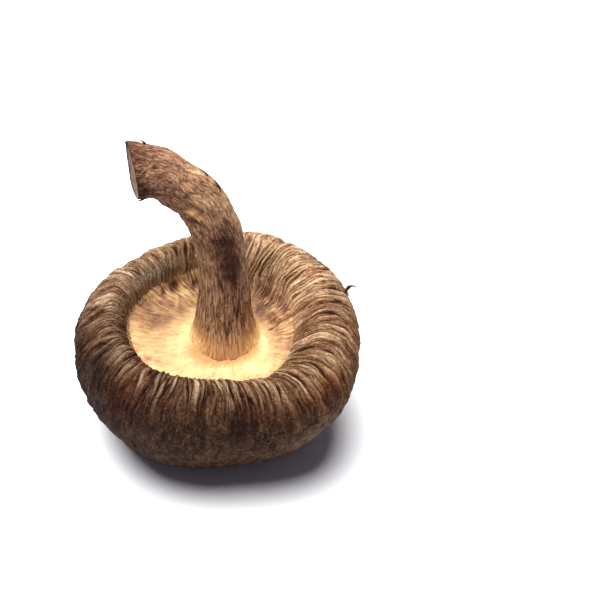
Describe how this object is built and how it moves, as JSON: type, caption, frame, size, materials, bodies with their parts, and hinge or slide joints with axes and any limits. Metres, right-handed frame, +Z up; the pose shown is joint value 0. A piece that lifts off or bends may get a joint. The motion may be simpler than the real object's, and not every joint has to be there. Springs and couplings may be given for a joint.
{
  "type": "dried shiitake mushroom",
  "caption": "Whole dried shiitake mushroom lying on its crown: deep wrinkled cap with a rolled rim, cream gills inside it and a bent woody stem standing up.",
  "frame": {"origin": "middle of the small flat spot under the crown, where the mushroom rests", "axes": "+Z up along the height, -Y towards the viewer of the picture, +X to the viewer's right; the stem bends towards -X and leans towards +Y"},
  "size_m": [0.0466, 0.0419, 0.0515],
  "materials": {
    "cap_skin": "dry, matte, deeply wrinkled",
    "gill_tissue": "dry, matte, papery",
    "stem_tissue": "dry, matte, fibrous"
  },
  "bodies": {
    "root": {"cap": "cap_skin", "gills": "gill_tissue", "stem": "stem_tissue"}
  },
  "joints": []
}
